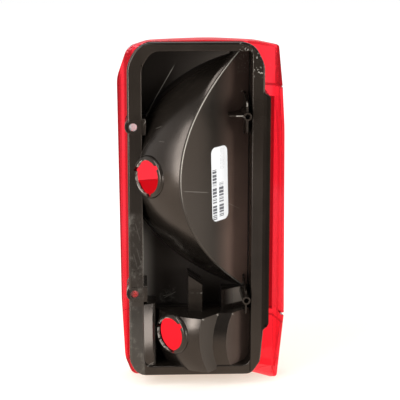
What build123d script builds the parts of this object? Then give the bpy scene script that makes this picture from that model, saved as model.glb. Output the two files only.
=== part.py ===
from build123d import *
import os
from math import cos, radians, sin, sqrt

# Tail light cluster, millimetres. +Z is up, +Y is the way the light shines,
# +X is the outboard side. The origin lies midway between the two screw holes,
# on the flat pads round them, which seat on the vehicle body.

# Rim of the housing, seen from the back
RIM_LEFT = -6.0
RIM_RIGHT = 124.0
RIM_TOP = 160.3
RIM_BOTTOM = -164.0
MID_RIGHT = 130.0
MID_TOP = 109.0
MID_BOTTOM = -115.0
REBATE_WIDTH = 4.6
REBATE_DEPTH = 4.0
RIM_LIP = 2.0
RIM_BACK = 0.8
RIM_FLANGE = 4.0
SKIRT_TOP = 157.7
BAND_LEFT = 14.5
BAND_RIGHT = 12.0
BAND_TOP = 8.3
BAND_BOTTOM = 9.5
WALL = 2.6
BODY_DEPTH = 43.0
FLOOR = 3.0

# Two screw holes on the inboard side
SCREW_PITCH = 162.4
SCREW_HOLE_R = 3.8
PAD_R = 8.0
PAD_REACH = 12.0
SLOT_WIDTH = 3.4
SLOT_HEIGHT = 6.6
SLOT_DEPTH = 1.9

# Upper reflector bowl
AXIS_ANGLE = 50.0
BOWL_X = 13.0
BOWL_Y = -12.0
BOWL_Z = 36.0
BOWL_FOCUS = 36.0
PANEL_SLOPE = 1.1
PANEL_X = 44.3
PANEL_Y = -34.0

# Flat facet on the upper bowl's inboard shoulder, by the two ends of its foot
FACET_LOW = (18.0, 95.0)
FACET_TOP = (51.5, 153.0)
FACET_REACH = 38.0
FACET_RISE = 9.0

# Lower reflector bowl
LOW_ANGLE = 45.0
LOW_X = 34.0
LOW_Y = -3.0
LOW_Z = -120.5
LOW_FOCUS = 27.0
LOW_PANEL_X = 60.0
LOW_PANEL_Y = -20.0
LOW_TOP = -102.0
LOW_BOTTOM = -158.4
STEP_X = 75.0
STEP_WIDTH = 13.0
TROUGH_R = 60.0

# Both bowls: how far they run, and the share of the wall that the inner focus gives up
BOWL_LENGTH = 170.0
FOCUS_SHARE = 0.414

# Bulb holes
BULB_R = 16.1
BULB_WALL = 2.4
SPOT_R = 20.5
SPOT_STAND = 0.8
SPOT_ROLL = 3.4
NOTCH_WIDTH = 5.0
NOTCH_DEPTH = 2.4
HOLE_START = 2.5

# Locating posts, and the box rib and shelf between the bowls
POST_X = 107.0
POST_TOP_Z = 92.0
POST_LOW_Z = -86.0
POST_TIP = -10.0
POST_R = 3.9
POST_HOLE_R = 2.4
POST_HOLE_DEPTH = 14.0
FIN = 1.6
FIN_BACK = -4.0
FIN_SPLAY = 8.0
RIB_X = 52.0
RIB_WIDTH = 13.4
RIB_TOP = -66.0
RIB_BACK = 10.0
RIB_STEP_Z = -79.0
RIB_STEP = 1.6
SHELF_X = 85.0
SHELF_TOP = -83.0
SHELF_BACK = 18.0
SCOOP_RIGHT = 20.5
SCOOP_TOP = -94.0
SCOOP_BACK = 1.6
SCOOP_SLOPE = 0.4
SCOOP_R = 205.0
SCOOP_MID = -144.0
SCOOP_ROLL = 6.0
SOFT = 1.2

# Lens
LENS_LEFT = -15.4
LENS_RIGHT = 147.0
LENS_BOTTOM = -175.0
LENS_FRONT = 72.0
LENS_CREST_X = 66.0
LENS_RADIUS = 145.0
LENS_WALL = 3.0
LENS_SIDE = 2.6
LENS_BACK = 39.0
WING_BACK = 25.0
WING_FLARE = 0.27
WING_CUT_TOP = 116.0
WING_CUT_LOW = -110.0
SLEEVE_R = 5.6
SLEEVE_BORE_R = 4.2
GROOVE_WIDTH = 1.6
GROOVE_DEPTH = 1.0

# Reflex panel behind the lens, and the paper label
REFLEX_X = 0.0
REFLEX_WIDTH = 70.0
REFLEX_TOP = 20.0
REFLEX_HEIGHT = 62.0
REFLEX_THICK = 2.4
LABEL_WIDTH = 24.0
LABEL_HEIGHT = 72.0
LABEL_X = 82.0
LABEL_Z = 25.5
LABEL_LEAN = 2.0
LABEL_THICK = 0.2
LABEL_CORNER = 6.0

BIG = 400.0


def inset(corners, d):
    """The same corners (clockwise) with every side moved inwards by d."""
    sides = []
    count = len(corners)
    for i in range(count):
        a = Vector(corners[i][0], corners[i][1])
        b = Vector(corners[(i + 1) % count][0], corners[(i + 1) % count][1])
        along = (b - a).normalized()
        sides.append((a + Vector(along.Y, -along.X) * d, along))
    moved = []
    for i in range(count):
        p, u = sides[i - 1]
        q, v = sides[i]
        cross = u.X * v.Y - u.Y * v.X
        gap = q - p
        t = (gap.X * v.Y - gap.Y * v.X) / cross
        spot = p + u * t
        radius = corners[i][2] - d if cross < 0 else corners[i][2] + d
        moved.append((spot.X, spot.Y, max(radius, 0.4)))
    return moved


def rounded(corners):
    """A flat face from (x, z, radius) corners, each rounded by its own radius."""
    points = [(x, z) for x, z, r in corners]
    face = make_face(Polyline(*points, close=True))
    for x, z, r in corners:
        spot = Vector(x, z, 0)
        near = face.vertices().sort_by(lambda v: (Vector(v) - spot).length)[0]
        face = fillet([near], r)
    return face


def slab(face, y0, y1):
    """The face stood up in the XZ plane and made solid between two depths."""
    return extrude(Plane.XZ.offset(-y1) * face, y1 - y0)


def plan(points, z0, z1):
    """A plan view polygon made solid between two heights."""
    return extrude(Plane.XY.offset(z0) * make_face(Polyline(*points, close=True)), z1 - z0)


def block(x0, x1, y0, y1, z0, z1):
    centre = ((x0 + x1) / 2, (y0 + y1) / 2, (z0 + z1) / 2)
    return Pos(*centre) * Box(x1 - x0, y1 - y0, z1 - z0)


def axis_frame(x, y, z, angle):
    """A frame at a bowl's deepest point, with its Z along the bowl's axis."""
    a = radians(angle)
    return Plane(origin=(x, y, z), x_dir=(cos(a), -sin(a), 0), z_dir=(sin(a), cos(a), 0))


def bowl(frame, focus, depth, start=0.0):
    """A solid paraboloid, opening along the frame's Z."""
    r = 2 * sqrt(focus * depth)
    curve = Bezier((0, 0, 0), (r / 2, 0, 0), (r, 0, depth))
    top = Line((r, 0, depth), (0, 0, depth))
    side = Line((0, 0, depth), (0, 0, 0))
    solid = revolve(make_face([curve, top, side]), Axis.Z, 360)
    return frame.location * (Pos(0, 0, start) * solid)


def front_of(x, y, slope, shift=0.0):
    """Everything in front of a sloping panel that passes through (x, y)."""
    y = y + shift * sqrt(1 + slope * slope)
    left = (x - BIG, y - slope * BIG)
    right = (x + BIG, y + slope * BIG)
    return plan([left, right, (x + BIG, y + 3 * BIG), (x - BIG, y + 3 * BIG)], -BIG, BIG)


# Outlines of the rim and of the opening inside its band

half_pitch = SCREW_PITCH / 2
screws = [(0, half_pitch), (0, -half_pitch)]


def rim_corners(top):
    """Corners of the rim, clockwise from the upper left."""
    return [
        (RIM_LEFT + 0.5, top - 21.3, 28),
        (RIM_LEFT + 12, top, 22),
        (RIM_RIGHT - 10.5, top, 18),
        (RIM_RIGHT, top - 21.3, 25),
        (RIM_RIGHT, MID_TOP + 4, 3),
        (MID_RIGHT, MID_TOP, 4),
        (MID_RIGHT, MID_BOTTOM, 4),
        (RIM_RIGHT + 0.6, MID_BOTTOM - 4, 3),
        (RIM_RIGHT - 2.3, RIM_BOTTOM + 13, 10),
        (RIM_RIGHT - 11, RIM_BOTTOM, 10),
        (RIM_LEFT + 7.5, RIM_BOTTOM, 14),
        (RIM_LEFT + 0.5, RIM_BOTTOM + 15, 16),
    ]


in_left = RIM_LEFT + BAND_LEFT
in_right = RIM_RIGHT - BAND_RIGHT
in_top = RIM_TOP - BAND_TOP
in_bottom = RIM_BOTTOM + BAND_BOTTOM
opening_corners = [
    (in_left, in_top - 15, 20),
    (in_left + 9.5, in_top, 14),
    (in_right, in_top, 3),
    (in_right, in_bottom, 8),
    (in_left, in_bottom, 8),
]


def rim_outline(d, top):
    face = rounded(inset(rim_corners(top), d))
    for x, z in screws:
        face += Pos(x, z) * Circle(PAD_R - d)
    return face


def opening_outline(d):
    face = rounded(inset(opening_corners, -d))
    for x, z in screws:
        face -= Pos(x, z) * Rectangle(2 * (PAD_REACH - d), 2 * (PAD_R - d))
    return face


rim = rim_outline(0, RIM_TOP)
skirt = rim_outline(0, SKIRT_TOP)
rim_in = rim_outline(WALL, SKIRT_TOP)
opening = opening_outline(0)
opening_out = opening_outline(WALL)

# Housing: solid masses first, then one set of cavities open to the front

body = slab(rim, RIM_BACK, RIM_FLANGE)
edge = body.faces().sort_by(Axis.Y)[0].outer_wire().edges()
body = fillet(edge, RIM_LIP)
body += slab(skirt, RIM_FLANGE - 1, BODY_DEPTH)
body -= slab(opening, -1, BODY_DEPTH - FLOOR)
mouth = body.faces().sort_by(Axis.Y)[0].inner_wires()[0].edges()
body = fillet(mouth, SOFT)
for x, z in screws:
    pad = Pos(x, z) * Circle(PAD_R - SOFT)
    pad += Pos(x + PAD_REACH / 2, z) * Rectangle(PAD_REACH, 2 * (PAD_R - SOFT))
    body += slab(pad, 0, RIM_BACK + 1)
slot = Pos(PAD_REACH - SLOT_WIDTH / 2, half_pitch - SLOT_HEIGHT / 2) * Rectangle(SLOT_WIDTH, SLOT_HEIGHT)
body -= slab(slot, -1, SLOT_DEPTH)
rebate_left = MID_RIGHT - REBATE_WIDTH
rebate_back = RIM_BACK + REBATE_DEPTH
body -= block(rebate_left, BIG, -BIG, rebate_back, MID_BOTTOM - 1, MID_TOP + 1)
hollow = slab(rim_in, RIM_BACK + WALL, BODY_DEPTH + 1) - slab(opening_out, 0, BODY_DEPTH + 2)
hollow -= block(rebate_left - WALL, BIG, 0, rebate_back + WALL, MID_BOTTOM - 1 - WALL, MID_TOP + 1 + WALL)

up_frame = axis_frame(BOWL_X, BOWL_Y, BOWL_Z, AXIS_ANGLE)
low_frame = axis_frame(LOW_X, LOW_Y, LOW_Z, LOW_ANGLE)

upper = bowl(up_frame, BOWL_FOCUS, BOWL_LENGTH)
upper &= front_of(PANEL_X, PANEL_Y, PANEL_SLOPE)
upper &= slab(skirt, -80, BODY_DEPTH)


def on_bowl(p):
    """How far a point lies off the upper bowl."""
    q = up_frame.to_local_coords(p)
    return abs(sqrt(q.X * q.X + q.Y * q.Y) - 2 * sqrt(BOWL_FOCUS * max(q.Z, 0)))


def on_panel(p):
    return abs(p.Y - PANEL_Y - PANEL_SLOPE * (p.X - PANEL_X))


def on_ridge(edge):
    """Whether an edge lies where the bowl meets the panel."""
    return max(on_bowl(edge @ t) + on_panel(edge @ t) for t in (0.1, 0.5, 0.9)) < 0.05


upper = fillet([e for e in upper.edges() if on_ridge(e)], SOFT)
upper_in = bowl(up_frame, BOWL_FOCUS - FOCUS_SHARE * WALL, BOWL_LENGTH, WALL)
upper_in &= front_of(PANEL_X, PANEL_Y, PANEL_SLOPE, WALL)
upper_in &= slab(rim_in, -80, BODY_DEPTH + 1)

step_y = LOW_PANEL_Y + PANEL_SLOPE * (STEP_X - LOW_PANEL_X)


def lower_mass(grow):
    """The stepped lower bowl: sloping band, trough, sloping band. Grow is negative inside."""
    reach = slab(skirt if grow == 0 else rim_in, -80, BODY_DEPTH - min(grow, 0))
    reach &= block(-BIG, BIG, -BIG, BIG, LOW_BOTTOM - grow, LOW_TOP + grow)
    first = bowl(low_frame, LOW_FOCUS + FOCUS_SHARE * grow, BOWL_LENGTH, -grow)
    first &= front_of(LOW_PANEL_X, LOW_PANEL_Y, PANEL_SLOPE, -grow)
    tube = Rot(0, 90, 0) * Cylinder(TROUGH_R + grow, 2 * BIG)
    tube = Pos(0, step_y + TROUGH_R, (LOW_TOP + LOW_BOTTOM) / 2) * tube
    second = tube & block(STEP_X - 6, BIG, -BIG, BIG, -BIG, BIG)
    second += block(STEP_X - 6, BIG, step_y + TROUGH_R, BIG, -BIG, BIG)
    second &= front_of(LOW_PANEL_X, LOW_PANEL_Y - PANEL_SLOPE * STEP_WIDTH, PANEL_SLOPE, -grow)
    return (first + second) & reach


lower = lower_mass(0)
lower_in = lower_mass(-WALL)

# Hollow box rib and sloping shelf between the bowls

rib_right = RIB_X + RIB_WIDTH
rib_face = make_face(Polyline(
    (RIB_X, LOW_TOP - 1), (rib_right, LOW_TOP - 1), (rib_right, RIB_TOP - 9), (RIB_X, RIB_TOP), close=True))
rib = slab(rib_face, RIB_BACK, BODY_DEPTH)
rib -= block(-BIG, BIG, -BIG, RIB_BACK + RIB_STEP, -BIG, RIB_STEP_Z)
rib_in = slab(offset(rib_face, -WALL, kind=Kind.INTERSECTION), RIB_BACK + RIB_STEP + WALL, BODY_DEPTH + 1)

shelf_end = in_right + WALL
shelf = block(SHELF_X, shelf_end, -BIG, BODY_DEPTH, LOW_TOP - 1, SHELF_TOP)
shelf &= front_of(SHELF_X, SHELF_BACK, 0.7)
shelf_in = block(SHELF_X + WALL, shelf_end - WALL, -BIG, BODY_DEPTH + 1, LOW_TOP + 1, SHELF_TOP - WALL)
shelf_in &= front_of(SHELF_X, SHELF_BACK, 0.7, WALL)

# Facet on the upper bowl's shoulder

foot = Vector(FACET_TOP[0] - FACET_LOW[0], FACET_TOP[1] - FACET_LOW[1])
facet_run = foot.length + FACET_REACH
foot = foot.normalized()
facet_frame = Plane(
    origin=(FACET_LOW[0], BODY_DEPTH - FLOOR, FACET_LOW[1]),
    x_dir=(foot.Y, 0, -foot.X), z_dir=(foot.X, 0, foot.Y))
lean = WALL * sqrt(1 + (FACET_RISE / FACET_REACH) ** 2)


def facet_mass(shift, ends):
    """A wedge whose back is the facet. Its local Y runs forwards, away from the back."""
    forward = 1 if facet_frame.y_dir.Y > 0 else -1
    wedge = make_face(Polyline(
        (0, forward * shift), (FACET_REACH, forward * (shift - FACET_RISE)),
        (FACET_REACH, forward * (FLOOR + shift)), (0, forward * (FLOOR + shift)), close=True))
    return facet_frame.location * (Pos(0, 0, ends) * extrude(wedge, facet_run - ends))


facet = facet_mass(0, 0) & slab(opening_out, 0, BODY_DEPTH)
facet_in = facet_mass(lean, WALL) & slab(opening, 0, BODY_DEPTH + 1)

# Sloping scoop beside the lower bowl, which lets a bulb socket in past the inboard band


def scoop_mass(d):
    """The scoop's back leans away from the band and bows gently up and down. D is the wall inside."""
    left = in_left - 1 + d
    low = in_bottom - 1 + d
    top = SCOOP_TOP - d
    radius = SCOOP_R - d

    def back(z):
        return SCOOP_BACK + SCOOP_R - sqrt(radius ** 2 - (z - SCOOP_MID) ** 2) + SCOOP_SLOPE * d

    bowed = ThreePointArc((back(low), low), (back(SCOOP_MID), SCOOP_MID), (back(top), top))
    sides = Polyline((back(top), top), (BIG, top), (BIG, low), (back(low), low))
    face = Plane.YZ.offset(left) * make_face([bowed, sides])
    mass = extrude(face, 2 * SCOOP_RIGHT, dir=(1, SCOOP_SLOPE, 0))
    return mass & block(left, SCOOP_RIGHT - d, -BIG, BODY_DEPTH + d, low, top)


scoop = scoop_mass(0)
far_side = [e for e in scoop.edges() if abs(e.center().X - SCOOP_RIGHT) < 0.1]
scoop = fillet([ShapeList(far_side).sort_by(Axis.Y)[0]], SCOOP_ROLL)
scoop_in = scoop_mass(WALL)

# Locating posts with fins


def post(z, up, down, left):
    stem = slab(Pos(POST_X, z) * Circle(POST_R), POST_TIP, FIN_BACK + 1)
    stem += Pos(POST_X, FIN_BACK, z) * (Rot(-90, 0, 0) * Cone(
        POST_R, POST_R + 0.6, BODY_DEPTH - FIN_BACK, align=(Align.CENTER, Align.CENTER, Align.MIN)))
    upright = make_face(Polyline(
        (FIN_BACK, z - down), (FIN_BACK, z + up), (BODY_DEPTH, z + up + FIN_SPLAY),
        (BODY_DEPTH, z - down - FIN_SPLAY), close=True))
    stem += Pos(POST_X - FIN / 2, 0, 0) * extrude(Plane.YZ * upright, FIN)
    if left > 0:
        stem += block(POST_X - left, POST_X, FIN_BACK, BODY_DEPTH, z - FIN / 2, z + FIN / 2)
    return stem


posts = post(POST_TOP_Z, 12.0, 16.0, 17.0) + post(POST_LOW_Z, 8.0, 14.0, 0)

# Flat spot faces round the bulb holes


def spot(frame):
    disc = Cylinder(SPOT_R, 6, align=(Align.CENTER, Align.CENTER, Align.MIN))
    disc = fillet(disc.edges().sort_by(Axis.Z)[:1], SPOT_ROLL)
    return frame.location * (Pos(0, 0, -SPOT_STAND) * disc)


def socket_cut(frame):
    ring = Pos(0, 0, BULB_WALL - SPOT_STAND) * Cylinder(
        SPOT_R - 2, 9, align=(Align.CENTER, Align.CENTER, Align.MIN))
    hole = Cylinder(BULB_R, 20)
    for turn in (80, 200, 320):
        hole += Rot(0, 0, turn) * (Pos(BULB_R, 0, 0) * Box(2 * NOTCH_DEPTH, NOTCH_WIDTH, 20))
    return frame.location * (ring + Pos(0, 0, 10 - HOLE_START) * hole)


housing = body + upper + facet + lower + rib + shelf + scoop + posts + spot(up_frame) + spot(low_frame)
housing -= hollow
housing -= upper_in
housing -= lower_in
housing -= rib_in
housing -= shelf_in
housing -= scoop_in
housing -= facet_in
housing -= socket_cut(up_frame)
housing -= socket_cut(low_frame)
for x, z in screws:
    housing -= slab(Pos(x, z) * Circle(SCREW_HOLE_R), -1, RIM_BACK + WALL + 1)
for z in (POST_TOP_Z, POST_LOW_Z):
    housing -= slab(Pos(POST_X, z) * Circle(POST_HOLE_R), POST_TIP - 1, POST_TIP + POST_HOLE_DEPTH)

# Lens: outline from the back, bowed in plan, hollow, with a wall that meets the housing

lens_corners = [
    (LENS_LEFT, SKIRT_TOP - 34, 30),
    (LENS_LEFT + 10, SKIRT_TOP - 5.5, 12),
    (RIM_LEFT + 20, SKIRT_TOP, 25),
    (LENS_CREST_X + 8, SKIRT_TOP + 1.4, 400),
    (RIM_RIGHT - 6, SKIRT_TOP, 60),
    (LENS_RIGHT - 6.2, SKIRT_TOP - 4, 2),
    (LENS_RIGHT - 1.6, WING_CUT_TOP - 40, 300),
    (LENS_RIGHT, WING_CUT_LOW, 60),
    (LENS_RIGHT - 6.5, LENS_BOTTOM, 3),
    (LENS_LEFT + 12, LENS_BOTTOM, 8),
    (LENS_LEFT + 5, LENS_BOTTOM + 18, 25),
    (LENS_LEFT + 2, LENS_BOTTOM + 80, 150),
]
lens_face = rounded(lens_corners)
lens_inner_face = rounded(inset(lens_corners, LENS_SIDE))
centre_y = LENS_FRONT - LENS_RADIUS


def bow(radius):
    return Pos(LENS_CREST_X, centre_y, 0) * Cylinder(radius, 2 * BIG)


def flare(shift):
    """Plan limit of the outboard wall, which leans out towards the back."""
    x = LENS_RIGHT - shift
    tip = (x - WING_FLARE * BIG, WING_BACK + BIG)
    heel = (x + WING_FLARE * BIG, WING_BACK - BIG)
    return plan([tip, heel, (x - 2 * BIG, WING_BACK - BIG), (x - 2 * BIG, WING_BACK + BIG)], -BIG, BIG)


back_cut = plan([
    (-BIG, -BIG), (BIG, -BIG), (BIG, WING_BACK), (MID_RIGHT + 4, WING_BACK),
    (RIM_RIGHT - 6, LENS_BACK), (-BIG, LENS_BACK)], -BIG, BIG)
top_slope = extrude(Plane.YZ.offset(-BIG) * make_face(Polyline(
    (LENS_BACK + 6, RIM_TOP + 1), (WING_BACK, WING_CUT_TOP), (-BIG, WING_CUT_TOP),
    (-BIG, RIM_TOP + 1),
    close=True)), 2 * BIG)

lens = slab(lens_face, WING_BACK - 5, LENS_FRONT + 5) & bow(LENS_RADIUS) & flare(0)
lens_in = slab(lens_inner_face, -BIG, LENS_FRONT + 5) & bow(LENS_RADIUS - LENS_WALL) & flare(LENS_SIDE)
lens -= back_cut
lens -= top_slope
lens -= lens_in
seam = slab(skirt, BODY_DEPTH, LENS_FRONT + 5) - slab(rim_in, BODY_DEPTH - 1, LENS_FRONT + 6)
seam &= bow(LENS_RADIUS - LENS_WALL / 2) & slab(lens_face, 0, LENS_FRONT + 5) & flare(0)
lens += seam
for x, z in screws:
    lens += slab(Pos(x, z) * Circle(SLEEVE_R), RIM_BACK + WALL, LENS_FRONT) & bow(LENS_RADIUS - 1)
for x, z in screws:
    lens -= slab(Pos(x, z) * Circle(SLEEVE_BORE_R), 0, LENS_FRONT + 5)
lens -= slab(skirt, -BIG, BODY_DEPTH) - slab(rim_in, 0, BIG)
for z in (WING_CUT_TOP, WING_CUT_LOW):
    notch = make_face(Polyline(
        (LENS_RIGHT + 4, z + 2.4), (LENS_RIGHT + 4, z - 2.4), (LENS_RIGHT - 7, z), close=True))
    lens -= slab(notch, WING_BACK - 1, WING_BACK + 9)
    groove = bow(LENS_RADIUS + 5) - bow(LENS_RADIUS - GROOVE_DEPTH)
    lens -= groove & block(-BIG, BIG, 0, BIG, z - GROOVE_WIDTH / 2, z + GROOVE_WIDTH / 2)

# Reflex panel bonded to the inside of the lens

reflex = bow(LENS_RADIUS - LENS_WALL) - bow(LENS_RADIUS - LENS_WALL - REFLEX_THICK)
reflex &= block(REFLEX_X, REFLEX_X + REFLEX_WIDTH, 0, BIG, REFLEX_TOP - REFLEX_HEIGHT, REFLEX_TOP)

# Paper label stuck to the upper panel

label_y = PANEL_Y + PANEL_SLOPE * (LABEL_X - PANEL_X)
label_frame = Plane(
    origin=(LABEL_X, label_y, LABEL_Z), x_dir=(1, PANEL_SLOPE, 0), z_dir=(PANEL_SLOPE, -1, 0))
label = label_frame.location * (Rot(0, 0, LABEL_LEAN) * extrude(
    RectangleRounded(LABEL_WIDTH, LABEL_HEIGHT, LABEL_CORNER), LABEL_THICK))

os.makedirs("parts", exist_ok=True)
export_step(housing, "parts/housing.step")
export_step(lens, "parts/red_lens.step")
export_step(reflex, "parts/reflex_panel.step")
export_step(label, "parts/label.step")
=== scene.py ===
from math import cos, radians, sin

import bpy
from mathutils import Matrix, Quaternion, Vector


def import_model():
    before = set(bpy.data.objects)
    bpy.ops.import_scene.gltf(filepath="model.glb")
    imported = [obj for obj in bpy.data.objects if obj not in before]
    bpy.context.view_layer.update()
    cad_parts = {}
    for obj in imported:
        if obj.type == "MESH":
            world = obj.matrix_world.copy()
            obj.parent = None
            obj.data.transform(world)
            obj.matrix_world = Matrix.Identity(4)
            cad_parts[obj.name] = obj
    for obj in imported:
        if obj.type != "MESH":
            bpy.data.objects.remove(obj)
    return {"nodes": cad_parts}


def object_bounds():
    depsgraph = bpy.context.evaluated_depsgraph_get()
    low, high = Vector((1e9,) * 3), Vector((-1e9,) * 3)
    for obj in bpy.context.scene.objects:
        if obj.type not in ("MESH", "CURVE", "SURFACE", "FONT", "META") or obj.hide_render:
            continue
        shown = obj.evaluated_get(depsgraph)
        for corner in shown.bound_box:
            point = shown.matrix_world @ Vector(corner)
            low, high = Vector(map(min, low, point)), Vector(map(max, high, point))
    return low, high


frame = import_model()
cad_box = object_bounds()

# Looks of an upright vehicle tail lamp, seen from its back, in the part's own frame:
# +Z up, +Y the way the light shines, +X outboard, origin midway between the two screw holes.
# Materials measure in millimetres. The camera, the lights and the floor's size are in metres.

MM = 0.001
UP = Vector((0, 0, 1))
LEFT = Vector((-1, 0, 0))
FORWARD = Vector((0, 1, 0))
BACKWARD = Vector((0, -1, 0))

scene = bpy.context.scene
scene.view_settings.view_transform = "Standard"

# Camera at the photograph's viewing angle
TARGET = Vector((0.06283, 0.0, 0.01119))
VIEW_DISTANCE = 1.25
VIEW_PITCH = radians(12.0)
VIEW_YAW = radians(2.5)
SENSOR = 36.0
FOCAL = 118.42

# Reflector bowls, bulb holes, sloping panel, scoop and label, as in the part
BOWL = Vector((13, -12, 36))
BOWL_AXIS = Vector((sin(radians(50)), cos(radians(50)), 0))
BOWL_FOCUS = 36
LOW_BOWL = Vector((34, -3, -120.5))
LOW_AXIS = Vector((sin(radians(45)), cos(radians(45)), 0))
LOW_TOP = -102
LOW_BOTTOM = -158.4
LOW_LEFT = 25
BULB_R = 16.1
PANEL = Vector((44.3, -34, 0))
PANEL_FACE = Vector((1.1, -1, 0)).normalized()
SCOOP_RIGHT = 20.5
SCOOP_TOP = -94
REBATE = 125.4
LABEL = Vector((82, 7.47, 25.5))
LABEL_LEAN = radians(2.0)
LABEL_ACROSS = Vector((1, 1.1, 0)).normalized()

# Colours, as linear red, green and blue
PLASTIC_DARK = (0.0060, 0.0047, 0.0037, 1.0)
PLASTIC_PALE = (0.0105, 0.0082, 0.0064, 1.0)
PLASTIC_IN_SHADE = (0.0020, 0.0016, 0.0013, 1.0)
PANEL_LIGHT = (0.028, 0.024, 0.020, 1.0)
POCKET_LIGHT = (0.110, 0.098, 0.085, 1.0)
SHELF_PALE = (0.30, 0.262, 0.225, 1.0)
RED_LIGHT = (0.250, 0.155, 0.120, 1.0)
SCUFF_AND_HIGHLIGHT = (0.42, 0.39, 0.34, 1.0)
SILVER = (0.78, 0.77, 0.75, 1.0)
SHEEN = (1.0, 0.86, 0.76, 1.0)
SHEEN_IN_SHADE = (0.22, 0.18, 0.15, 1.0)
LENS_RED = (1.0, 0.043, 0.064, 1.0)
LENS_SHADE = (1.0, 0.034, 0.052, 1.0)
LENS_FULL = (1.0, 0.020, 0.036, 1.0)
LENS_GLOSS = (1.0, 0.35, 0.40, 1.0)
LENS_THICK_AND_SHADED = (0.30, 0.004, 0.007, 1.0)
REFLEX_RED = (1.0, 0.28, 0.36, 1.0)
REFLEX_SHADE = (0.50, 0.08, 0.12, 1.0)
PAPER = (0.84, 0.84, 0.84, 1.0)
PAPER_DULL = (0.78, 0.78, 0.78, 1.0)
INK = (0.05, 0.05, 0.06, 1.0)
FLOOR_BOUNCE = (0.80, 0.80, 0.80, 1.0)
FLOOR_MATT = (0.56, 0.56, 0.56, 1.0)
FLOOR_GLOW = (0.59, 0.50, 0.41, 1.0)
FLOOR_FAR = (0.75, 0.75, 0.75, 1.0)
FLOOR_WARM = (0.90, 0.73, 0.58, 1.0)
FLOOR_DIM = (0.26, 0.26, 0.26, 1.0)
WHITE = (1.0, 1.0, 1.0, 1.0)

# Noises: waves in a millimetre, detail and roughness
GRAIN = (0.900, 4, 0.60)
CLOUD = (0.022, 4, 0.60)
MARKS = (0.070, 6, 0.70)
SPECKS = (0.520, 2, 0.50)
SMEARS = (0.090, 7, 0.75)
TEARS = (0.380, 3, 0.60)
LENS_CLOUD = (0.018, 3, 0.50)
FIBRE = (1.500, 3, 0.60)
BREAKS = (0.900, 2, 0.50)

# Spans of a noise or wave over which its mark appears
SPECKS_SHOW = (0.60, 0.70)
SMEARS_SHOW = (0.50, 0.70)
TEARS_SHOW = (0.40, 0.52)
RIB_HIGHLIGHT_SHOWS = (0.40, 0.55)
PALE_SHOWS = (0.35, 0.70)
PANEL_LIGHT_SHOWS = (0.2, 0.8)
LENS_SHADE_SHOWS = (0.3, 0.7)
GROOVES_SHOW = (-0.4, 0.6)
GAPS_SHOW = (0.16, 0.24)
BARS_SHOW = (0.12, 0.20)
LINES_SHOW = (0.62, 0.72)
BREAKS_SHOW = (0.42, 0.55)

# Turns of a face, as spans of the cosine between its normal and a direction
TURNED_BACK = (0.0, 0.15)
TURNED_FRONT = (0.10, 0.20)
TURNED_INSIDE = (0.3, 0.6)
TURNED_LEFT = (0.7, 0.9)
TURNED_UP = (0.80, 0.95)
ON_PANEL = (0.97, 0.995)

# Zones of the housing's finish, painted light and painted shade: bands of (low, high, soft edge) in
# millimetres
RIM_CORNER = {"x": (102, 123, 4), "z": (132, 158, 6)}
LEFT_RIM = {"x": (-4, 8, 2), "z": (-160, -8, 10)}
POCKET_SCUFF = {"x": (26, 40, 3), "z": (-102, -86, 4)}
LEFT_LIP = {"x": (7.9, 9.0, 0.3), "z": (0, 138, 7)}
RIGHT_LIP = {"x": (111.2, 112.4, 0.3)}
RIB_FOOT = {"x": (51, 66, 0.5), "y": (8, 14, 1)}
SHELF_SLOPE = {"y": (16, 34, 1), "z": (-98, -83.5, 1)}
POCKET_FLOOR = {"z": (-92, -35, 25)}
LOW_REACH = {"z": (LOW_BOTTOM, LOW_TOP, 1)}

# Spans over which the housing's finish, painted light, painted highlights and painted shade fade: (from, to)
# in millimetres
DEEP_Y = (24, 40)
PANEL_LIGHT_Z = (-30, 90)
RED_LIGHT_X = (74, 112)
RED_LIGHT_Z = (LOW_TOP, LOW_TOP + 20)
LOW_RIM_Z = (-120, -80)
RIDGE_EDGE = (0.4, 1.1)
RIDGE_HIGHLIGHT_Z = (0, 60)
RIDGE_FOOT_Z = (-70, -45)
GROOVE_EDGE = (0.3, 0.6)
GROOVE_BAND = (0.9, 1.9, 0.4)
ROLL_SPREAD = (2, 8)
ROLL_START = (0.3, 0.8)
ROLL_EDGE = (0.5, 1.0)
ROLL_Z = (100, 140)
SCOOP_EDGE_X = (SCOOP_RIGHT, SCOOP_RIGHT + 1)
SCOOP_EDGE_Z = (SCOOP_TOP, SCOOP_TOP + 1)
REBATE_X = (REBATE, REBATE + 0.3)
RIGHT_RIM_X = (110, 113)
RIGHT_RIM_Z = (30, 90)
LEFT_RIM_X = (6, 9)
LEFT_RIM_Z = (-90, -60)
OUTER_LEFT_X = (-5.3, -4.5)
OUTER_RIGHT_X = (122.2, 123.0)
OUTER_TOP_Z = (158.3, 159.1)
RIB_FOOT_Z = (-86, -70)
POCKET_FLOOR_X = (5, 22)
SHELF_X = (87, 104)
COAT_X = (LOW_LEFT, LOW_LEFT + 2)
TOP_Z = (150, 155)
TOP_Y = (4, 8)
FLASH_R = (BULB_R - 0.3, BULB_R + 0.3, 0.4)
FLASH_DEEP = (-4, 4, 1)
FLASH_SIDE = (-6, 2)

# How far inside the upper bowl's curve its coating starts, in square millimetres
COAT_SQUARE = (60, 100)

# How strong the fading painted panel light, painted red light and ridge highlight stay at their weaker end
PANEL_LIGHT_LEAST = 0.8
PANEL_LIGHT_HIGH = 0.45
RED_LIGHT_LOW = 0.35
RIDGE_LEAST = 0.06
RIDGE_FOOT = 0.35
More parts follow.
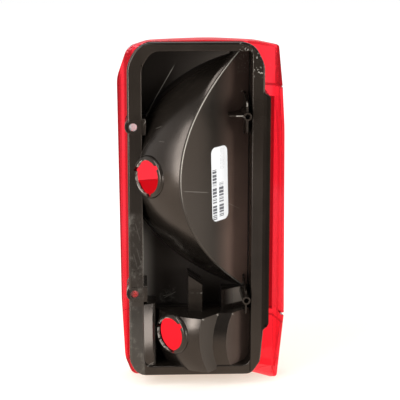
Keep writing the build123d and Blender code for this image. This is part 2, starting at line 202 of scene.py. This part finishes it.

# Straight marks on the back, scratches and painted highlights: two (x, z) ends and a width, in millimetres
SCRATCHES = (
    ((8.6, -12), (8.6, -76), 0.9),
    ((45, 26.5), (72, 19), 0.5),
    ((84, 9), (104, -5), 0.5),
    ((11, -154.5), (19, -151.5), 0.5),
    ((27, -94.5), (38, -92.5), 0.5),
    ((28, -97), (41, -90), 0.5),
)
FAINT_SCRATCHES = (
    ((21, 80), (27, 83), 0.4),
    ((24, 70), (29, 70), 0.4),
    ((1, -10), (6, -30), 0.4),
    ((2, -34), (8, -58), 0.4),
    ((-1, -40), (3, -56), 0.4),
)
# Painted highlight along the facet's edge
FACET_HIGHLIGHT = ((9, 82), (41, 137), 0.5)
SEAMS = (
    ((9, -6), (22, -30), 0.45),
    ((19, -26), (33, -42), 0.45),
)
WORN_PATCH = ((29, -19), (53, -43), 5.0)
# The first two are painted highlights along the fins' edges
CHIPS_AND_GLINTS = (
    ((96, 91.9), (104, 91.9), 0.9),
    ((106.8, 100.5), (106.8, 105), 0.8),
    ((103.4, 110.2), (105.2, 111.6), 0.7),
    ((64.2, -102.2), (66.2, -103.8), 0.9),
    ((79.2, -102.2), (80.6, -104.2), 0.9),
    ((94.2, -102.2), (95.2, -104.2), 0.9),
)
RIB_CHIP = ((63.6, -83.9), (65.6, -83.9), 0.8)
# Painted highlight along the rib's step
RIB_STEP_HIGHLIGHT = ((52, -83.7), (66, -83.9), 0.5)
STROKE_TAPER = 0.15
STROKE_CORE = 0.3

# Rounded edges, and two places where the shading tips as a soft roll would
EDGE_RADIUS = 0.3 * MM
EDGE_SAMPLES = 6
SCOOP_LEAN = 0.10
ROLL_WAY = Vector((-0.35, -1, 0))
ROLL_LEAN = 1.5
GRAIN_HEIGHT = 0.2 * MM
GRAIN_STRENGTH = 0.05
PLASTIC_IOR = 1.5

# Zones, spans and one mark of the lens's deeper red and its painted shade, in millimetres
LENS_LEFT_X = (-14.0, -10.5)
# Painted shade: the rim's shadow on the lens beside it
BESIDE_RIM = {"x": (-7.5, -2, 2.5)}
LENS_LOW_X = (0, 4)
LENS_LOW_Z = (-70, -20)
# Painted shade: the housing's shadow on the wing's inner face
WING_SHADOW = {"x": (128, 137.6, 1), "z": (-112, 103, 1)}
LENS_WALL = {"y": (35, 39, 1.5)}
WING_BLOCK_X = (138.2, 138.8)
WING_BLOCK_Z = (114, 116)
WING_UPPER_CUT = {"z": (114, 116, 0.6)}
WING_LOWER_CUT = {"z": (-119, -117.5, 0.6)}
WING_CUT_X = (124, 126)
WING_CREASE = ((45, 98), (34, 4), 1.6)
WING_CREASE_X = (137.5, 139)
SLEEVE_X = {"x": (-6, 6, 1)}
SLEEVE_HEIGHT = (75.2, 87.2, 1)
LENS_FOOT_Z = (-125, -95)
WING_MIDDLE = {"z": (25, 110, 20)}
WING_MIDDLE_X = (134, 138)
WING_BACK_Y = (42, 46)
WING_BACK_X = (136, 138)

# Flutes of the lens and grooves of the reflex panel: radians in a millimetre up and across
FLUTE_UP = 1.9
FLUTE_ACROSS = 0.25
FLUTE_END_X = (112, 118)
FLUTE_STRENGTH = 0.12
FLUTE_HEIGHT = 0.4 * MM
REFLEX_UP = 2.9
REFLEX_ACROSS = 2.6
REFLEX_STRENGTH = 0.35
REFLEX_HEIGHT = 0.3 * MM
RED_IOR = 1.49
LENS_ROUGH = 0.10
LENS_TOP_ROUGH = 0.50
LENS_CLEAR = 0.95
WING_BACK_CLEAR = 0.35
REFLEX_ROUGH = 0.12
REFLEX_CLEAR = 0.96

# Label's bars and broken lines: bands across and up its face, in millimetres
LEFT_BARS = ((-10.8, -5.0, 0.3), (-34, 14.5, 0.3))
RIGHT_BARS = ((-1.2, 5.2, 0.3), (-32, 1, 0.3))
BROKEN_LINES = ((1.5, 7.8, 0.3), (14, 34, 0.3))
BAR_ROW = 3.3
BAR_HEIGHT = 0.85
LINE_PITCH = 2.1
PALEST_BAR = 0.2
BAR_INK = 0.92
LINE_INK = 0.35
PAPER_ROUGH = 0.45
FIBRE_HEIGHT = 0.1 * MM
FIBRE_STRENGTH = 0.05

# Floor: its half size in metres, and spans in millimetres over which its tone changes
FLOOR_SIZE = 6.0
FLOOR_FRONT = (0, 500)
FLOOR_ASIDE = (100, 350)
FLOOR_REACH = (300, 900)
FLOOR_FADE = 0.85

# Room: spans of a direction's Y and Z over which it darkens, behind the camera and overhead
BEHIND_CAMERA = 0.15
ROOM_DEPTH = (-0.85, 0.1)
OVERHEAD = (0.55, 0.85)
OVERHEAD_FADE = 0.55


class Tree:
    """A node tree that is built from left to right by short calls. Its places are in millimetres."""

    def __init__(self, owner):
        owner.use_nodes = True
        self.graph = owner.node_tree
        self.graph.nodes.clear()

    def measure(self):
        """Set the point's own place in the part's frame, and its X, Y and Z."""
        metres = self.node("ShaderNodeTexCoord").outputs["Object"]
        self.where = self.vector("SCALE", metres, scale=1 / MM)
        axes = self.node("ShaderNodeSeparateXYZ", Vector=self.where).outputs
        self.x = axes["X"]
        self.y = axes["Y"]
        self.z = axes["Z"]

    def plug(self, socket, value):
        if isinstance(value, bpy.types.NodeSocket):
            self.graph.links.new(value, socket)
        else:
            socket.default_value = value

    def node(self, kind, props=None, **inputs):
        made = self.graph.nodes.new(kind)
        for key, value in (props or {}).items():
            setattr(made, key, value)
        for key, value in inputs.items():
            self.plug(made.inputs[key.replace("_", " ")], value)
        return made

    def math(self, operation, a, b=0.0):
        made = self.node("ShaderNodeMath", {"operation": operation})
        self.plug(made.inputs[0], a)
        self.plug(made.inputs[1], b)
        return made.outputs[0]

    def vector(self, operation, a, b=None, scale=None):
        made = self.node("ShaderNodeVectorMath", {"operation": operation})
        self.plug(made.inputs[0], a)
        if b is not None:
            self.plug(made.inputs[1], b)
        if scale is not None:
            self.plug(made.inputs["Scale"], scale)
        return made.outputs["Vector"]

    def magnitude(self, value):
        return self.math("ABSOLUTE", value)

    def rest(self, value):
        """What is left of one."""
        return self.math("SUBTRACT", 1.0, value)

    def total(self, *terms):
        """Sum of products: each term is (value, factor)."""
        result = 0.0
        for value, factor in terms:
            result = self.math("ADD", self.math("MULTIPLY", value, factor), result)
        return result

    def product(self, first, *others):
        for other in others:
            first = self.math("MULTIPLY", first, other)
        return first

    def most(self, first, *others):
        for other in others:
            first = self.math("MAXIMUM", first, other)
        return first

    def strongest(self, *terms):
        """The largest of some masks: each term is (mask, weight)."""
        return self.most(*(self.product(mask, weight) for mask, weight in terms))

    def ramp(self, value, span, start=0.0, end=1.0):
        """From start to end, smoothly, as a value crosses a span."""
        made = self.node("ShaderNodeMapRange", {"interpolation_type": "SMOOTHSTEP"}, Value=value)
        for key, number in zip(("From Min", "From Max", "To Min", "To Max"), (*span, start, end)):
            made.inputs[key].default_value = number
        return made.outputs["Result"]

    def fall(self, value, span, start=1.0):
        return self.ramp(value, span, start, 0.0)

    def band(self, value, limits):
        """One between two limits, falling to nothing over a soft edge outside them."""
        low, high, soft = limits
        return self.product(self.ramp(value, (low - soft, low)), self.fall(value, (high, high + soft)))

    def zone(self, bands):
        """One inside the bands of the axes that are named."""
        return self.product(*(self.band(getattr(self, axis), limits) for axis, limits in bands.items()))

    def mix(self, factor, a, b):
        made = self.node("ShaderNodeMix", {"data_type": "RGBA"}, Factor=factor)
        for key, value in (("A", a), ("B", b)):
            socket = [s for s in made.inputs if s.name == key and s.type == "RGBA"][0]
            self.plug(socket, value)
        return [s for s in made.outputs if s.type == "RGBA"][0]

    def dot(self, vector, way):
        made = self.node("ShaderNodeVectorMath", {"operation": "DOT_PRODUCT"})
        self.plug(made.inputs[0], vector)
        self.plug(made.inputs[1], way)
        return made.outputs["Value"]

    def along(self, origin, way):
        """How far the place lies from an origin along a direction."""
        return self.math("SUBTRACT", self.dot(self.where, way), origin.dot(way))

    def facing(self, way, span):
        """One where the face turns towards a direction."""
        return self.ramp(self.dot(self.node("ShaderNodeNewGeometry").outputs["True Normal"], way), span)

    def noise(self, kind):
        scale, detail, rough = kind
        made = self.node(
            "ShaderNodeTexNoise", Vector=self.where, Scale=scale, Detail=detail, Roughness=rough)
        return made.outputs["Fac"]

    def bump(self, height, strength, distance, normal=None):
        made = self.node("ShaderNodeBump", Height=height, Strength=strength, Distance=distance)
        if normal:
            self.plug(made.inputs["Normal"], normal)
        return made.outputs["Normal"]

    def lean(self, normal, way, amount):
        """A normal tipped a little towards a direction."""
        tip = self.vector("SCALE", way, scale=amount)
        return self.vector("NORMALIZE", self.vector("ADD", normal, tip))

    def stroke(self, mark, across=None):
        """A thin straight mark between two places, tapering at its ends. Unless told, it lies in X and Z."""
        start, end, width = mark
        across = across or self.x
        start = Vector(start)
        run = Vector(end) - start
        length = run.length
        run.normalize()
        side = Vector((-run.y, run.x))
        gone = self.total((across, run.x), (self.z, run.y), (1.0, -start.dot(run)))
        off = self.total((across, side.x), (self.z, side.y), (1.0, -start.dot(side)))
        taper = STROKE_TAPER * length
        thin = self.fall(self.magnitude(off), (STROKE_CORE * width, width))
        return self.product(thin, self.band(gone, (taper, length - taper, taper)))

    def strokes(self, marks):
        return self.most(*(self.stroke(mark) for mark in marks))

    def finish(self, surface):
        out = self.node("ShaderNodeOutputMaterial")
        self.graph.links.new(surface.outputs[0], out.inputs["Surface"])


def new_material(name):
    material = bpy.data.materials.new(name)
    tree = Tree(material)
    tree.measure()
    return material, tree


class Bowl:
    """How far the place lies along a bowl's axis, off it, and to its side."""

    def __init__(self, tree, origin, axis):
        self.deep = tree.along(origin, axis)
        self.side = tree.along(origin, axis.cross(UP))
        height = tree.along(origin, UP)
        self.r = tree.math("SQRT", tree.total((self.side, self.side), (height, height)))

    def flash(self, tree):
        """The torn pale edge round the bulb hole, on the side away from the lamp's middle."""
        edge = tree.product(tree.band(self.r, FLASH_R), tree.band(self.deep, FLASH_DEEP))
        return tree.product(edge, tree.fall(self.side, FLASH_SIDE))


def handling_and_highlights(tree, marks, flash):
    """Pale scuffs, specks, scratches and chips where the part was handled, and painted highlights along the
    facet's edge, the fins' edges and the rib's step.
    """
    specks = tree.ramp(tree.noise(SPECKS), SPECKS_SHOW)
    smear = tree.ramp(tree.noise(SMEARS), SMEARS_SHOW)
    torn = tree.ramp(tree.noise(TEARS), TEARS_SHOW)
    rim_haze = tree.total((smear, 0.11), (tree.fall(tree.z, LOW_RIM_Z), 0.05), (1.0, 0.01))
    return tree.strongest(
        (tree.product(tree.zone(RIM_CORNER), specks), 0.5),
        (tree.product(tree.zone(LEFT_RIM), rim_haze), 1.0),
        (tree.product(tree.zone(POCKET_SCUFF), smear), 0.12),
        (tree.product(flash, torn), 0.9),
        (tree.product(tree.stroke(WORN_PATCH), smear), 0.11),
        (tree.strokes(SEAMS), 0.11),
        (tree.strokes(SCRATCHES), 0.22),
        (tree.strokes(FAINT_SCRATCHES), 0.077),
        (tree.stroke(FACET_HIGHLIGHT), 0.484),
        (tree.strokes(CHIPS_AND_GLINTS), 0.5),
        (tree.stroke(RIB_CHIP), 0.175),
        (tree.product(tree.stroke(RIB_STEP_HIGHLIGHT), tree.ramp(marks, RIB_HIGHLIGHT_SHOWS)), 0.25))


def reflection_shade(tree, deep):
    """Painted shade in the reflections: a darker reflection tint on the rim's outer step, upper part and
    edges, the pockets and the rib's foot, where they lie in shade.
    """
    outer_edge = tree.most(
        tree.fall(tree.x, OUTER_LEFT_X), tree.ramp(tree.x, OUTER_RIGHT_X), tree.ramp(tree.z, OUTER_TOP_Z))
    return tree.strongest(
        (tree.ramp(tree.x, REBATE_X), 0.9),
        (tree.product(tree.ramp(tree.x, RIGHT_RIM_X), tree.ramp(tree.z, RIGHT_RIM_Z)), 0.65),
        (tree.product(tree.fall(tree.x, LEFT_RIM_X), tree.ramp(tree.z, LEFT_RIM_Z)), 0.25),
        (outer_edge, 0.9),
        (tree.most(tree.zone(LEFT_LIP), tree.zone(RIGHT_LIP)), 0.75),
        (deep, 0.5),
        (tree.product(tree.zone(RIB_FOOT), tree.fall(tree.z, RIB_FOOT_Z)), 0.8))


def coating(tree, bowl):
    """Bright coating inside the reflector bowls, seen only from the front."""
    inside = tree.math("SUBTRACT", tree.product(bowl.deep, 4 * BOWL_FOCUS), tree.product(bowl.r, bowl.r))
    lower = tree.product(tree.zone(LOW_REACH), tree.ramp(tree.x, COAT_X))
    upper = tree.ramp(inside, COAT_SQUARE)
    return tree.product(tree.most(upper, lower), tree.facing(FORWARD, TURNED_FRONT))


def black_plastic():
    material, tree = new_material("black_plastic")
    cloud = tree.noise(CLOUD)
    marks = tree.noise(MARKS)
    back = tree.facing(BACKWARD, TURNED_BACK)
    deep = tree.ramp(tree.y, DEEP_Y)
    bowl = Bowl(tree, BOWL, BOWL_AXIS)
    low_bowl = Bowl(tree, LOW_BOWL, LOW_AXIS)

    # Distances from the sloping panel and from the upper bowl, which meet along the ridge. A painted
    # highlight runs along the ridge, strong high up, faint lower down and a little stronger at its foot.
    to_panel = tree.magnitude(tree.along(PANEL, PANEL_FACE))
    bowl_r = tree.math("SQRT", tree.product(tree.most(bowl.deep, 0.0), 4 * BOWL_FOCUS))
    to_bowl = tree.magnitude(tree.math("SUBTRACT", bowl.r, bowl_r))
    ridge_highlight = tree.fall(tree.math("ADD", to_panel, to_bowl), RIDGE_EDGE)
    ridge_fade = tree.most(
        tree.ramp(tree.z, RIDGE_HIGHLIGHT_Z, RIDGE_LEAST, 1.0), tree.fall(tree.z, RIDGE_FOOT_Z, RIDGE_FOOT))
    ridge_highlight = tree.product(ridge_highlight, ridge_fade)
    groove = tree.product(tree.fall(to_bowl, GROOVE_EDGE), tree.band(to_panel, GROOVE_BAND))

    # Painted light on the faces that slope like the panel, stronger lower down, and painted red light from
    # the lens towards their outboard end
    panel_light = tree.product(
        tree.facing(PANEL_FACE, ON_PANEL),
        tree.ramp(cloud, PANEL_LIGHT_SHOWS, PANEL_LIGHT_LEAST, 1.0),
        tree.ramp(tree.z, PANEL_LIGHT_Z, 1.0, PANEL_LIGHT_HIGH))
    red_light = tree.product(tree.ramp(tree.x, RED_LIGHT_X), tree.ramp(tree.z, RED_LIGHT_Z, RED_LIGHT_LOW, 1.0))

    flash = tree.most(bowl.flash(tree), low_bowl.flash(tree))
    # Pale scuffs and wear, together with the ridge's painted highlight and a few painted edge highlights
    scuff_and_highlight = tree.product(tree.most(handling_and_highlights(tree, marks, flash), ridge_highlight), back)
    polish = tree.product(tree.fall(tree.x, SCOOP_EDGE_X), tree.fall(tree.z, SCOOP_EDGE_Z))
    coated = coating(tree, bowl)
    # Painted light: the lower pocket's floor is paler near its left wall, as light falls there
    pocket_light = tree.product(deep, tree.fall(tree.x, POCKET_FLOOR_X), tree.zone(POCKET_FLOOR))
    # The shelf's sloping face is painted paler towards its outboard end
    shelf_pale = tree.product(tree.zone(SHELF_SLOPE), tree.ramp(tree.x, SHELF_X), back)

    base = tree.mix(tree.ramp(cloud, PALE_SHOWS), PLASTIC_DARK, PLASTIC_PALE)
    # Painted shade: the plastic is darker deep in the recesses, where they lie in shade
    base = tree.mix(deep, base, PLASTIC_IN_SHADE)
    base = tree.mix(pocket_light, base, POCKET_LIGHT)
    base = tree.mix(shelf_pale, base, SHELF_PALE)
    base = tree.mix(panel_light, base, tree.mix(red_light, PANEL_LIGHT, RED_LIGHT))
    base = tree.mix(scuff_and_highlight, base, SCUFF_AND_HIGHLIGHT)
    base = tree.mix(coated, base, SILVER)

    # The top is matt, so that it doesn't mirror the lamps
    top = tree.product(tree.facing(UP, TURNED_UP), tree.ramp(tree.z, TOP_Z), tree.ramp(tree.y, TOP_Y))
    rough = tree.total(
        (cloud, 0.10), (marks, 0.08), (deep, 0.50), (panel_light, 0.25), (scuff_and_highlight, 0.3), (polish, -0.04),
        (groove, 0.5), (top, 0.45), (1.0, 0.14))

    rounded = tree.node("ShaderNodeBevel", {"samples": EDGE_SAMPLES}, Radius=EDGE_RADIUS).outputs["Normal"]
    rounded = tree.lean(rounded, UP, tree.product(polish, back, SCOOP_LEAN))
    roll = tree.product(tree.fall(to_panel, ROLL_SPREAD), tree.fall(to_bowl, ROLL_EDGE))
    roll = tree.product(roll, tree.ramp(to_panel, ROLL_START), tree.ramp(tree.z, ROLL_Z))
    rounded = tree.lean(rounded, ROLL_WAY, tree.product(roll, back, ROLL_LEAN))

    shader = tree.node(
        "ShaderNodeBsdfPrincipled", Base_Color=base, Roughness=rough, Metallic=coated, IOR=PLASTIC_IOR)
    # Painted shade: the reflections are tinted darker where the rim, pockets and rib's foot lie in shade
    tree.plug(shader.inputs["Specular Tint"], tree.mix(reflection_shade(tree, deep), SHEEN, SHEEN_IN_SHADE))
    tree.plug(shader.inputs["Normal"], tree.bump(tree.noise(GRAIN), GRAIN_STRENGTH, GRAIN_HEIGHT, rounded))
    tree.finish(shader)
    return material


def clear_red(tree, base, clear, rough, normal):
    shader = tree.node(
        "ShaderNodeBsdfPrincipled", Base_Color=base, Roughness=rough, IOR=RED_IOR, Transmission_Weight=clear)
    shader.inputs["Specular Tint"].default_value = LENS_GLOSS
    tree.plug(shader.inputs["Normal"], normal)
    tree.finish(shader)


def lens_depth_and_shade(tree, inner):
    """Where the eye meets more plastic: edges, walls, the wing's lines and the screw sleeves. Also darker
    low on the left, and painted shade beside the rim and on the wing's inner face, where the housing shades
    it.
    """
    cuts = tree.most(tree.zone(WING_UPPER_CUT), tree.zone(WING_LOWER_CUT))
    sleeves = tree.product(tree.zone(SLEEVE_X), tree.band(tree.magnitude(tree.z), SLEEVE_HEIGHT))
    return tree.strongest(
        (tree.fall(tree.x, LENS_LEFT_X), 0.9),
        (tree.product(tree.fall(tree.x, LENS_LOW_X), tree.fall(tree.z, LENS_LOW_Z)), 0.2),
        # Painted shade beside the rim and on the wing's inner face
        (tree.product(tree.zone(BESIDE_RIM), inner), 0.7),
        (tree.product(tree.zone(WING_SHADOW), inner), 1.0),
        (tree.product(tree.facing(LEFT, TURNED_LEFT), tree.zone(LENS_WALL)), 0.35),
        (tree.product(tree.ramp(tree.x, WING_BLOCK_X), tree.ramp(tree.z, WING_BLOCK_Z)), 0.8),
        (tree.product(cuts, tree.ramp(tree.x, WING_CUT_X)), 0.6),
        (tree.product(tree.stroke(WING_CREASE, tree.y), tree.ramp(tree.x, WING_CREASE_X)), 0.6),
        (sleeves, 0.5))


def red_lens():
    material, tree = new_material("red_lens")
    inner = tree.facing(BACKWARD, TURNED_INSIDE)
    wing_middle = tree.product(tree.zone(WING_MIDDLE), tree.ramp(tree.x, WING_MIDDLE_X))
    full = tree.most(tree.fall(tree.z, LENS_FOOT_Z), wing_middle)
    base = tree.mix(tree.ramp(tree.noise(LENS_CLOUD), LENS_SHADE_SHOWS), LENS_RED, LENS_SHADE)
    base = tree.mix(full, base, LENS_FULL)
    base = tree.mix(lens_depth_and_shade(tree, inner), base, LENS_THICK_AND_SHADED)

    # Shallow level flutes behind the bulbs
    waves = tree.math("SINE", tree.total((tree.z, FLUTE_UP), (tree.x, FLUTE_ACROSS)))
    flutes = tree.product(waves, tree.fall(tree.x, FLUTE_END_X))

    # The wing's back edge is cloudy, and the top is matt, so that it doesn't mirror the lamps
    wing_back = tree.product(inner, tree.fall(tree.y, WING_BACK_Y), tree.ramp(tree.x, WING_BACK_X))
    top = tree.product(tree.facing(UP, TURNED_UP), tree.ramp(tree.z, TOP_Z))
    clear = tree.ramp(wing_back, (0, 1), LENS_CLEAR, WING_BACK_CLEAR)
    rough = tree.ramp(top, (0, 1), LENS_ROUGH, LENS_TOP_ROUGH)
    clear_red(tree, base, clear, rough, tree.bump(flutes, FLUTE_STRENGTH, FLUTE_HEIGHT))
    return material


def red_reflex():
    material, tree = new_material("red_reflex")
    grooves = tree.math("SINE", tree.total((tree.x, REFLEX_ACROSS), (tree.z, REFLEX_UP)))
    base = tree.mix(tree.ramp(grooves, GROOVES_SHOW), REFLEX_SHADE, REFLEX_RED)
    normal = tree.bump(grooves, REFLEX_STRENGTH, REFLEX_HEIGHT)
    clear_red(tree, base, REFLEX_CLEAR, REFLEX_ROUGH, normal)
    return material


def paper():
    """White paper with plain bars in two columns, and a few faint broken lines beside them."""
    material, tree = new_material("label_paper")
    u = tree.along(LABEL, LABEL_ACROSS * cos(LABEL_LEAN) + UP * sin(LABEL_LEAN))
    v = tree.along(LABEL, UP * cos(LABEL_LEAN) - LABEL_ACROSS * sin(LABEL_LEAN))

    def field(limits):
        across, upward = limits
        return tree.product(tree.band(u, across), tree.band(v, upward))

    def part_of(value, pitch):
        return tree.math("FRACT", tree.product(value, 1 / pitch))

    gaps = tree.ramp(part_of(v, BAR_ROW), GAPS_SHOW)
    index = tree.math("FLOOR", tree.product(v, 1 / BAR_HEIGHT))
    chance = tree.node("ShaderNodeTexWhiteNoise", {"noise_dimensions": "1D"}, W=index).outputs["Value"]
    dark = tree.ramp(chance, BARS_SHOW, PALEST_BAR, 1.0)
    bars = tree.product(tree.most(field(LEFT_BARS), field(RIGHT_BARS)), gaps, dark)
    thin = tree.ramp(part_of(u, LINE_PITCH), LINES_SHOW)
    broken = tree.ramp(tree.noise(BREAKS), BREAKS_SHOW)
    lines = tree.product(field(BROKEN_LINES), thin, broken)

    fibre = tree.noise(FIBRE)
    base = tree.mix(fibre, PAPER_DULL, PAPER)
    base = tree.mix(tree.strongest((bars, BAR_INK), (lines, LINE_INK)), base, INK)
    shader = tree.node("ShaderNodeBsdfPrincipled", Base_Color=base, Roughness=PAPER_ROUGH)
    tree.plug(shader.inputs["Normal"], tree.bump(fibre, FIBRE_STRENGTH, FIBRE_HEIGHT))
    tree.finish(shader)
    return material


def dress(node, material):
    data = frame["nodes"][node].data
    data.materials.clear()
    data.materials.append(material)
    data.polygons.foreach_set("use_smooth", [True] * len(data.polygons))


def floor_white():
    """White to the camera and through the lens, with a shadow; dimmer and warm where gloss mirrors it."""
    material, tree = new_material("floor_white")
    seen = tree.node("ShaderNodeLightPath").outputs
    shown = tree.most(seen["Is Camera Ray"], seen["Is Glossy Ray"], seen["Is Transmission Ray"])
    mirrored = tree.product(seen["Is Glossy Ray"], tree.rest(seen["Is Transmission Ray"]))
    aside = tree.magnitude(tree.math("SUBTRACT", tree.x, TARGET.x / MM))
    front = tree.product(tree.ramp(tree.product(tree.y, -1.0), FLOOR_FRONT), tree.fall(aside, FLOOR_ASIDE))
    fade = tree.rest(tree.product(front, mirrored, FLOOR_FADE))
    paint = tree.mix(mirrored, tree.mix(shown, FLOOR_BOUNCE, FLOOR_MATT), FLOOR_DIM)
    away = tree.node("ShaderNodeVectorMath", {"operation": "LENGTH"}, Vector=tree.where).outputs["Value"]
    tone = tree.mix(mirrored, tree.mix(tree.ramp(away, FLOOR_REACH), FLOOR_GLOW, FLOOR_FAR), FLOOR_WARM)
    matt = tree.node("ShaderNodeBsdfDiffuse", Color=paint)
    glow = tree.node("ShaderNodeEmission", Color=tone, Strength=tree.product(shown, fade))
    both = tree.node("ShaderNodeAddShader")
    tree.plug(both.inputs[0], matt.outputs[0])
    tree.plug(both.inputs[1], glow.outputs[0])
    tree.finish(both)
    return material


def floor():
    mesh = bpy.data.meshes.new("floor")
    level = cad_box[0].z
    corners = [(x * FLOOR_SIZE, y * FLOOR_SIZE, level) for x, y in ((-1, -1), (1, -1), (1, 1), (-1, 1))]
    mesh.from_pydata(corners, [], [(0, 1, 2, 3)])
    mesh.materials.append(floor_white())
    made = bpy.data.objects.new("floor", mesh)
    scene.collection.objects.link(made)


def world():
    """White to the camera; to the part, a room that is darker behind the camera and overhead."""
    made = bpy.data.worlds.new("studio")
    scene.world = made
    tree = Tree(made)
    seen = tree.node("ShaderNodeLightPath").outputs
    shown = tree.most(seen["Is Camera Ray"], seen["Is Transmission Ray"])
    toward = tree.node("ShaderNodeTexCoord").outputs["Generated"]
    way = tree.node("ShaderNodeSeparateXYZ", Vector=toward).outputs
    around = tree.ramp(way["Y"], ROOM_DEPTH, BEHIND_CAMERA, 1.0)
    overhead = tree.product(seen["Is Glossy Ray"], tree.ramp(way["Z"], OVERHEAD), OVERHEAD_FADE)
    room = tree.product(around, tree.rest(overhead))
    back = tree.node("ShaderNodeBackground", Color=WHITE, Strength=tree.most(shown, room))
    out = tree.node("ShaderNodeOutputWorld")
    tree.plug(out.inputs["Surface"], back.outputs[0])


def face_target(made, turn, rise, distance):
    """Put a light or camera round the target, facing it. Turn and rise count from the lamp's back."""
    way = Vector((sin(turn) * cos(rise), -cos(turn) * cos(rise), sin(rise)))
    made.location = TARGET + way * distance
    made.rotation_mode = "QUATERNION"
    made.rotation_quaternion = way.to_track_quat("Z", "Y")
    scene.collection.objects.link(made)


def softbox(name, azimuth, elevation, width, height, power, distance=1.0, roll=0.0):
    """A lit rectangle that faces the target. Its angles are in degrees, and its size in metres."""
    turn = radians(azimuth)
    rise = radians(elevation)
    data = bpy.data.lights.new(name, "AREA")
    data.shape = "RECTANGLE"
    data.size = width
    data.size_y = height
    data.energy = power
    made = bpy.data.objects.new(name, data)
    face_target(made, turn, rise, distance)
    made.rotation_quaternion = made.rotation_quaternion @ Quaternion(UP, radians(roll))
    return made


def lights():
    softbox("key_left", -50, 22, width=0.22, height=1.35, power=8.4, roll=12)
    softbox("fill_left", -60, 18, width=0.26, height=0.70, power=0.6, roll=12)
    softbox("low_left", -38, 6, width=0.22, height=0.45, power=4.2)
    softbox("low_right", 45, -1.2, width=0.36, height=0.34, power=4.0)
    unmirrored = (
        softbox("key_right", 45, 10, width=0.36, height=0.60, power=2.5),
        softbox("front", 10, 40, width=0.8, height=0.8, power=1.5, distance=1.2),
        softbox("top", 0, 80, width=0.9, height=0.9, power=3.0, distance=1.2),
    )
    for made in unmirrored:
        made.visible_glossy = False
    glint = softbox("glint", -14, 53, width=0.25, height=0.25, power=1.6)
    glint.visible_diffuse = False


def camera():
    data = bpy.data.cameras.new("camera")
    data.sensor_width = SENSOR
    data.lens = FOCAL
    made = bpy.data.objects.new("camera", data)
    face_target(made, -VIEW_YAW, VIEW_PITCH, VIEW_DISTANCE)
    scene.camera = made


dress("housing", black_plastic())
dress("red_lens", red_lens())
dress("reflex_panel", red_reflex())
dress("label", paper())
floor()
world()
lights()
camera()
